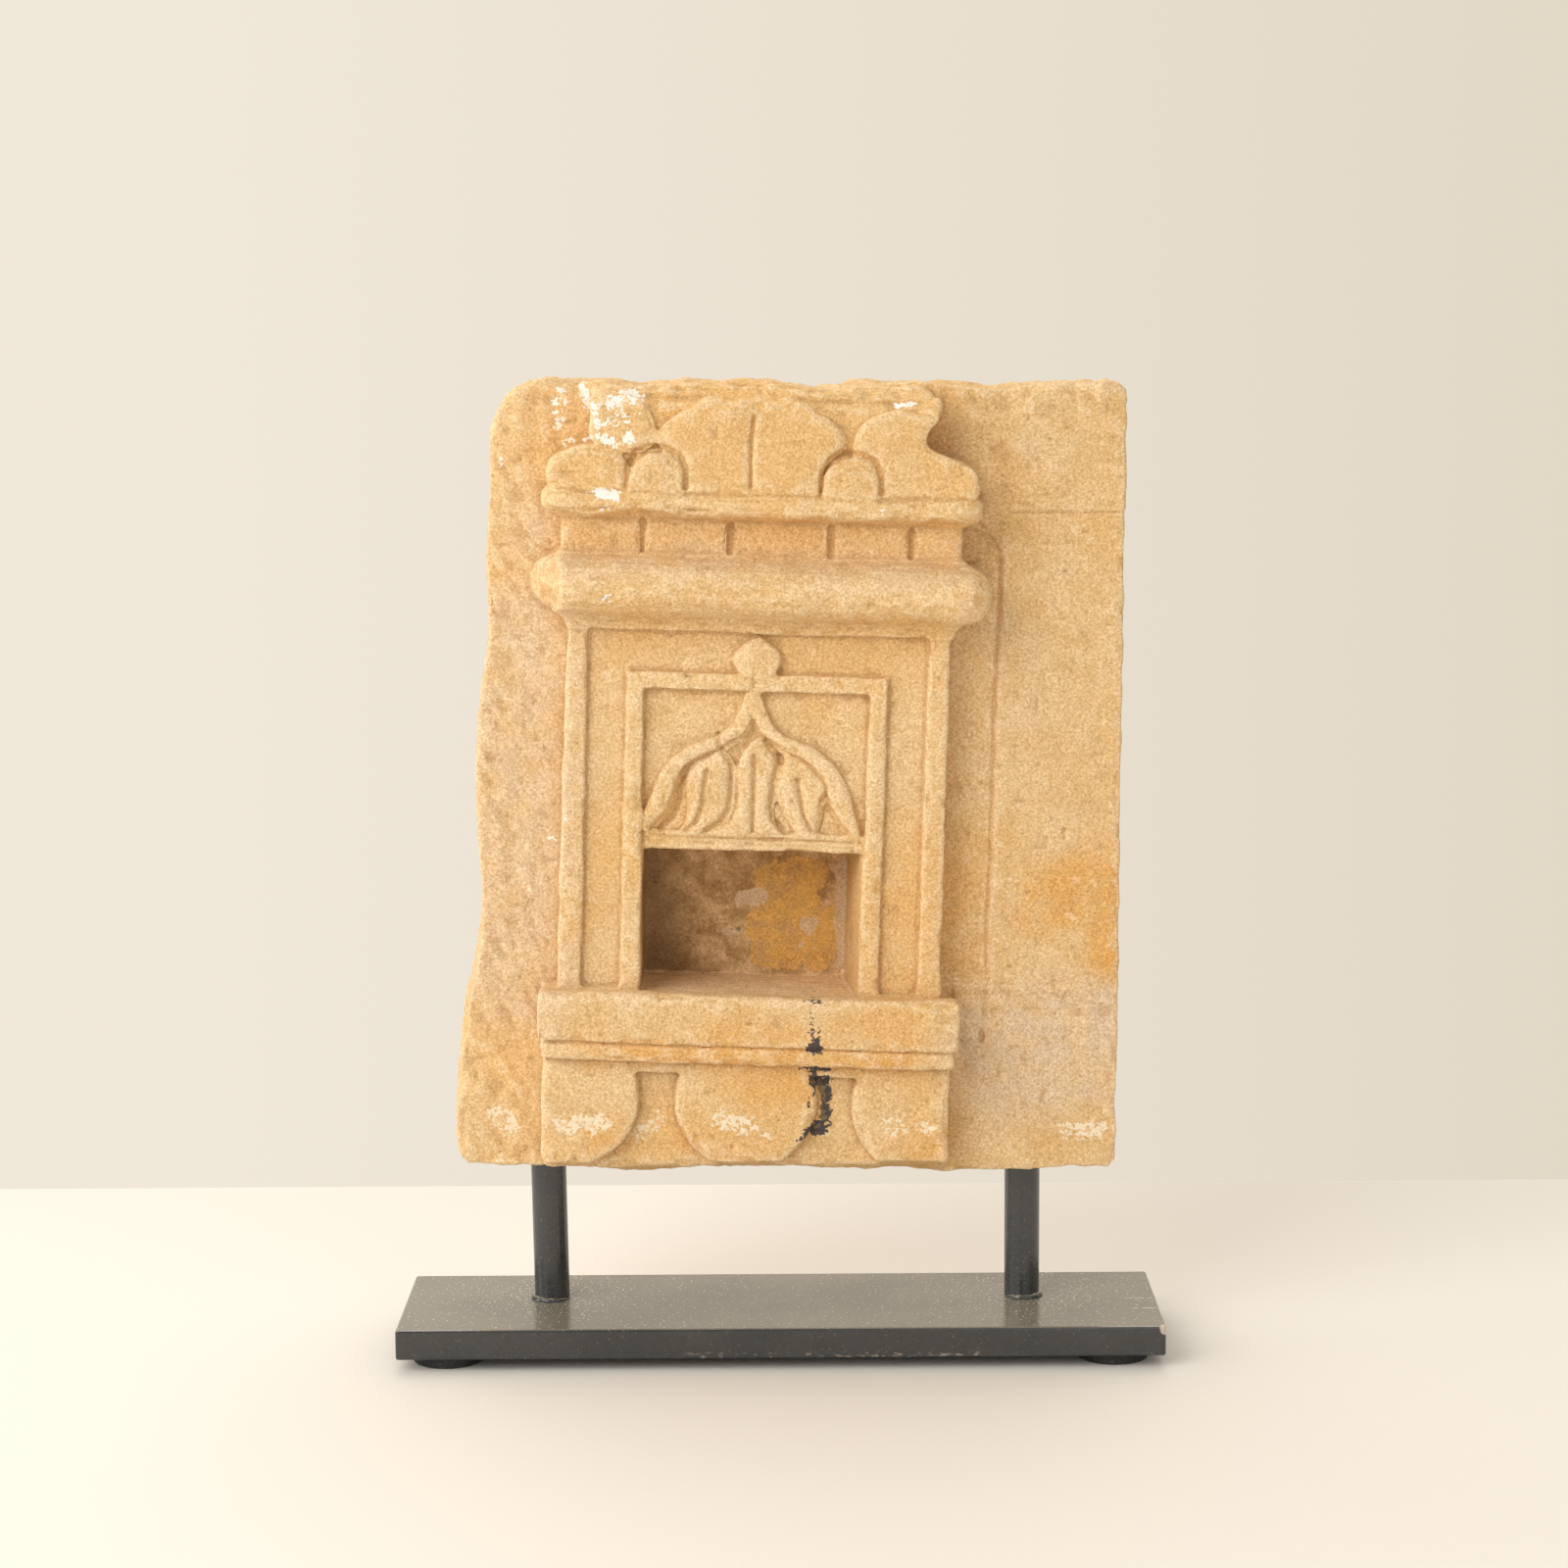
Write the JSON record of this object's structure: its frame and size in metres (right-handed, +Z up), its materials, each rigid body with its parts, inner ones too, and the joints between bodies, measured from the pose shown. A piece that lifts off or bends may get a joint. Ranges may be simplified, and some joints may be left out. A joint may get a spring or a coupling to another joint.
{
  "type": "stone niche",
  "caption": "Carved sandstone niche with an ogee arch, moulded cornice and petal crown, held above a steel base plate by round rods.",
  "frame": {"origin": "on the ground under the middle of the object's box", "axes": "+X across to the right as seen from the front, +Y to the back, +Z up"},
  "size_m": [0.3, 0.082, 0.3835],
  "materials": {
    "sandstone": "rough and worn",
    "steel": "dark satin",
    "rubber": "matt black"
  },
  "bodies": {
    "root": {"stone_niche": "sandstone", "base_plate": "steel", "rod_left": "steel", "rod_right": "steel", "foot_front_left": "rubber", "foot_front_right": "rubber", "foot_back_left": "rubber", "foot_back_right": "rubber"}
  },
  "joints": []
}
